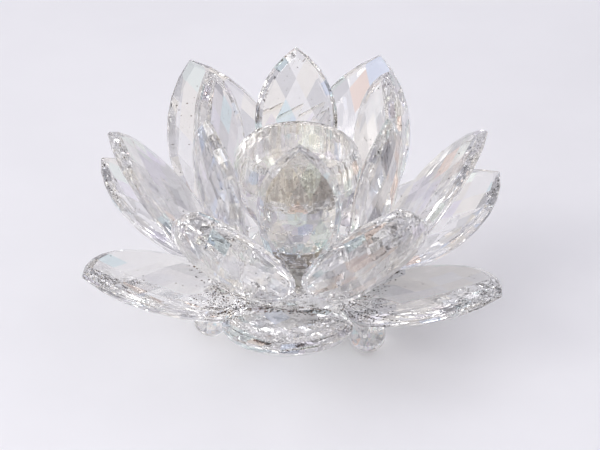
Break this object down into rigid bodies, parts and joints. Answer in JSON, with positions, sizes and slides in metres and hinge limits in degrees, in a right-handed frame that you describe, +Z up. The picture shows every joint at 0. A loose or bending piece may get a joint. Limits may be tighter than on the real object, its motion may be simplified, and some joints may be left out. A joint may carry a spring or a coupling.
{
  "type": "candle holder",
  "caption": "Cut-glass lotus candle holder: tiers of faceted leaf-shaped petals round a ball-shaped cup for a tea light, on glass ball feet.",
  "frame": {"origin": "on the table, under the middle of the candle cup", "axes": "+Z up along the cup's axis; -Y towards the front of the reference view, +X to its right"},
  "size_m": [0.1632, 0.1854, 0.0999],
  "materials": {
    "petal_glass": "clear cut crystal glass, polished facets, a little dust and grit towards the centre",
    "cup_glass": "clear cut crystal glass, polished facets outside, smooth dusty well inside",
    "hub_glass": "clear glass, ground seats, polished sides",
    "foot_glass": "clear polished glass ball",
    "adhesive": "cured clear adhesive, slightly yellowed, with trapped grit"
  },
  "bodies": {
    "root": {"candle_cup": "cup_glass", "cup_pedestal": "hub_glass", "foot_1": "foot_glass", "foot_2": "foot_glass", "foot_3": "foot_glass", "foot_bond_1": "adhesive", "foot_bond_2": "adhesive", "foot_bond_3": "adhesive", "hub_bond": "adhesive", "hub_lower": "hub_glass", "hub_upper": "hub_glass", "inner_bonds": "adhesive", "inner_petal_1": "petal_glass", "inner_petal_2": "petal_glass", "inner_petal_3": "petal_glass", "inner_petal_4": "petal_glass", "inner_petal_5": "petal_glass", "inner_petal_6": "petal_glass", "lower_bonds": "adhesive", "lower_petal_1": "petal_glass", "lower_petal_2": "petal_glass", "lower_petal_3": "petal_glass", "lower_petal_4": "petal_glass", "lower_petal_5": "petal_glass", "lower_petal_6": "petal_glass", "middle_bonds": "adhesive", "middle_petal_1": "petal_glass", "middle_petal_2": "petal_glass", "middle_petal_3": "petal_glass", "middle_petal_4": "petal_glass", "middle_petal_5": "petal_glass", "middle_petal_6": "petal_glass", "pedestal_bonds": "adhesive"}
  },
  "joints": []
}
